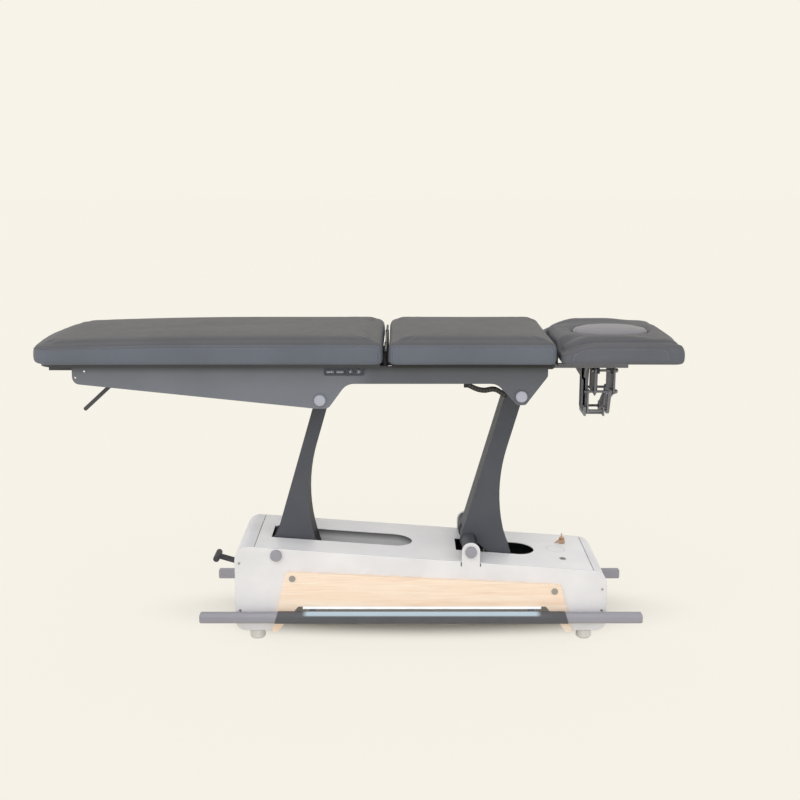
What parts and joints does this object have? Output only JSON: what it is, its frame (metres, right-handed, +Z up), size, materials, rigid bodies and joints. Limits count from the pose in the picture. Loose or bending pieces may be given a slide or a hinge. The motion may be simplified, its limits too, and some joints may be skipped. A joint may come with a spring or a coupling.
{
  "type": "chiropractic table",
  "caption": "Height-adjustable treatment table with a three-part padded top, face recess with plug, parallel lift arms and a sloping white base with side foot rails.",
  "frame": {"origin": "on the floor under the middle of the padded top", "axes": "+X along the table towards the head end, +Y across it away from the keypad side, +Z up"},
  "size_m": [1.9113, 0.54, 0.9605],
  "materials": {
    "white_shell": "smooth satin white paint",
    "dark_metal": "dark satin paint",
    "steel": "plain steel",
    "chrome": "polished rod",
    "aluminium": "machined bars",
    "wood": "pale wood with fine lengthwise grain, satin lacquer",
    "feet": "pale grey rubber",
    "light": "glowing light strip, emissive",
    "caps": "light grey satin",
    "black_plastic": "black matt",
    "grey_plastic": "grey matt",
    "brass": "dull bronze",
    "frame_paint": "grey satin paint",
    "arm_paint": "dark grey satin paint",
    "pedal_paint": "dark grey satin paint",
    "upholstery": "grey grained vinyl with stitched side seams",
    "plug_cloth": "lighter grey smooth vinyl",
    "rail_metal": "light grey satin paint",
    "rail_grip": "dark grey sleeve",
    "tyre": "black"
  },
  "bodies": {
    "base": {"side_plate_left": "white_shell", "side_plate_right": "white_shell", "top_cover": "white_shell", "end_cover_foot": "white_shell", "end_cover_head": "white_shell", "chassis_left": "dark_metal", "chassis_right": "dark_metal", "floor_pan": "steel", "wood_panel_left": "wood", "wood_panel_right": "wood", "wood_panel_screws": "steel", "casing_screws": "steel", "levelling_feet": "feet", "foot_stems": "steel", "light_bars": "light", "lower_shafts": "steel", "lower_pivot_caps": "caps", "control_box": "black_plastic", "cover_lock": "steel", "actuator_body": "black_plastic"},
    "front_arm": {"front_arm": "arm_paint"},
    "top_frame": {"frame_plate_left": "frame_paint", "frame_plate_right": "frame_paint", "frame_crossbars": "dark_metal", "upper_shafts": "steel", "upper_pivot_caps": "caps", "keypad": "black_plastic", "cable_chain": "black_plastic", "mid_board": "black_plastic", "mid_cushion": "upholstery", "leg_hinge_rod": "steel"},
    "rear_arm": {"rear_arm": "arm_paint"},
    "actuator_rod": {"actuator_rod": "steel"},
    "leg_section": {"leg_subframe": "dark_metal", "leg_cushion": "upholstery"},
    "release_lever": {"release_lever": "dark_metal"},
    "gas_spring_tube": {"gas_spring_tube": "black_plastic"},
    "gas_spring_rod": {"gas_spring_rod": "chrome"},
    "head_carriage": {"head_carriage": "dark_metal"},
    "lower_link_near": {"lower_link_near": "dark_metal"},
    "lower_link_far": {"lower_link_far": "dark_metal"},
    "head_section": {"head_plate": "black_plastic", "head_cushion": "upholstery", "upper_link_near": "aluminium", "upper_link_far": "aluminium"},
    "face_plug": {"face_plug": "plug_cloth"},
    "foot_rail_left": {"foot_rail_left": "rail_metal", "rail_sleeve_left": "rail_grip"},
    "foot_rail_right": {"foot_rail_right": "rail_metal", "rail_sleeve_right": "rail_grip"},
    "pedal": {"pedal": "pedal_paint"},
    "wheel_carrier": {"wheel_carrier": "steel"},
    "wheel_left": {"wheel_left": "tyre"},
    "wheel_right": {"wheel_right": "tyre"},
    "lock_key": {"lock_key": "brass"},
    "stop_button": {"stop_button": "grey_plastic"},
    "button_raise": {"button_raise": "grey_plastic"},
    "button_lower": {"button_lower": "grey_plastic"},
    "button_round_foot": {"button_round_foot": "grey_plastic"},
    "button_round_head": {"button_round_head": "grey_plastic"}
  },
  "joints": [
    {"name": "lift", "type": "hinge", "parent": "base", "child": "front_arm", "pos_m": [0.34799, 0, 0.287], "axis": [0, -1, 0], "range_deg": [-65.8, 8.2]},
    {"name": "frame_level", "type": "hinge", "parent": "front_arm", "child": "top_frame", "pos_m": [0.49, 0, 0.77579], "axis": [0, -1, 0], "range_deg": [-8.2, 65.8]},
    {"name": "rear_arm_swing", "type": "hinge", "parent": "base", "child": "rear_arm", "pos_m": [-0.24801, 0, 0.276], "axis": [0, -1, 0], "range_deg": [-65.8, 8.2]},
    {"name": "actuator_stroke", "type": "slide", "parent": "base", "child": "actuator_rod", "axis": [1, 0, 0], "range_m": [-0.112, 0.015]},
    {"name": "leg_tilt", "type": "hinge", "parent": "top_frame", "child": "leg_section", "pos_m": [0.09, 0, 0.92476], "axis": [0, 1, 0], "range_deg": [0, 12]},
    {"name": "lever_pull", "type": "hinge", "parent": "leg_section", "child": "release_lever", "pos_m": [-0.7, 0, 0.83179], "axis": [0, 1, 0], "range_deg": [0, 15], "stiffness_Nm_per_rad": 4},
    {"name": "gas_tube_swing", "type": "hinge", "parent": "top_frame", "child": "gas_spring_tube", "pos_m": [-0.15, 0.084, 0.79979], "axis": [0, 1, 0], "range_deg": [0, 17.98]},
    {"name": "gas_rod_slide", "type": "slide", "parent": "gas_spring_tube", "child": "gas_spring_rod", "axis": [-0.996, 0, 0.0899], "range_m": [0, 0.0365]},
    {"name": "head_tilt", "type": "hinge", "parent": "top_frame", "child": "head_carriage", "pos_m": [0.588, 0, 0.85179], "axis": [0, 1, 0], "range_deg": [-6, 45]},
    {"name": "head_swing", "type": "hinge", "parent": "head_carriage", "child": "lower_link_near", "pos_m": [0.698, -0.0385, 0.70079], "axis": [1, 0, 0], "range_deg": [-8, 8]},
    {"name": "lower_link_far_swing", "type": "hinge", "parent": "head_carriage", "child": "lower_link_far", "pos_m": [0.698, 0.0385, 0.70079], "axis": [1, 0, 0], "range_deg": [-8, 8]},
    {"name": "head_level", "type": "hinge", "parent": "lower_link_near", "child": "head_section", "pos_m": [0.698, -0.0385, 0.76079], "axis": [1, 0, 0], "range_deg": [-8, 8]},
    {"name": "face_plug_lift", "type": "slide", "parent": "head_section", "child": "face_plug", "axis": [0, 0, 1], "range_m": [0, 0.06]},
    {"name": "left_rail_press", "type": "hinge", "parent": "base", "child": "foot_rail_left", "pos_m": [-0.14001, -0.12, 0.092], "axis": [1, 0, 0], "range_deg": [-3, 3], "stiffness_Nm_per_rad": 400},
    {"name": "right_rail_press", "type": "hinge", "parent": "base", "child": "foot_rail_right", "pos_m": [-0.14001, 0.12, 0.092], "axis": [1, 0, 0], "range_deg": [-3, 3], "stiffness_Nm_per_rad": 400},
    {"name": "pedal_press", "type": "hinge", "parent": "base", "child": "pedal", "pos_m": [-0.31401, 0, 0.176], "axis": [0, -1, 0], "range_deg": [0, 12], "stiffness_Nm_per_rad": 15},
    {"name": "carrier_swing", "type": "hinge", "parent": "base", "child": "wheel_carrier", "pos_m": [-0.33001, 0, 0.095], "axis": [0, -1, 0], "range_deg": [-12, 0]},
    {"name": "left_wheel_spin", "type": "hinge", "parent": "wheel_carrier", "child": "wheel_left", "pos_m": [-0.28501, -0.069, 0.0395], "axis": [0, 1, 0], "continuous": true},
    {"name": "right_wheel_spin", "type": "hinge", "parent": "wheel_carrier", "child": "wheel_right", "pos_m": [-0.28501, 0.069, 0.0395], "axis": [0, 1, 0], "continuous": true},
    {"name": "key_turn", "type": "hinge", "parent": "base", "child": "lock_key", "pos_m": [0.65799, 0.088, 0.23078], "axis": [0.0729, 0, 0.9973], "range_deg": [0, 90]},
    {"name": "stop_press", "type": "slide", "parent": "base", "child": "stop_button", "axis": [-0.0729, 0, -0.9973], "range_m": [0, 0.0015], "stiffness_N_per_m": 400},
    {"name": "button_raise_press", "type": "slide", "parent": "top_frame", "child": "button_raise", "axis": [0, 1, 0], "range_m": [0, 0.0008], "stiffness_N_per_m": 300},
    {"name": "button_lower_press", "type": "slide", "parent": "top_frame", "child": "button_lower", "axis": [0, 1, 0], "range_m": [0, 0.0008], "stiffness_N_per_m": 300},
    {"name": "button_round_foot_press", "type": "slide", "parent": "top_frame", "child": "button_round_foot", "axis": [0, 1, 0], "range_m": [0, 0.0008], "stiffness_N_per_m": 300},
    {"name": "button_round_head_press", "type": "slide", "parent": "top_frame", "child": "button_round_head", "axis": [0, 1, 0], "range_m": [0, 0.0008], "stiffness_N_per_m": 300}
  ],
  "couplings": [
    {"joint": "frame_level", "follows": "lift", "ratio": -1},
    {"joint": "rear_arm_swing", "follows": "lift", "ratio": 1},
    {"joint": "actuator_stroke", "follows": "lift", "m_per_rad": 0.09505},
    {"joint": "gas_tube_swing", "follows": "leg_tilt", "ratio": 1.4897},
    {"joint": "gas_rod_slide", "follows": "leg_tilt", "m_per_rad": 0.1719},
    {"joint": "lower_link_far_swing", "follows": "head_swing", "ratio": 1},
    {"joint": "head_level", "follows": "head_swing", "ratio": -1},
    {"joint": "carrier_swing", "follows": "pedal_press", "ratio": -1}
  ]
}
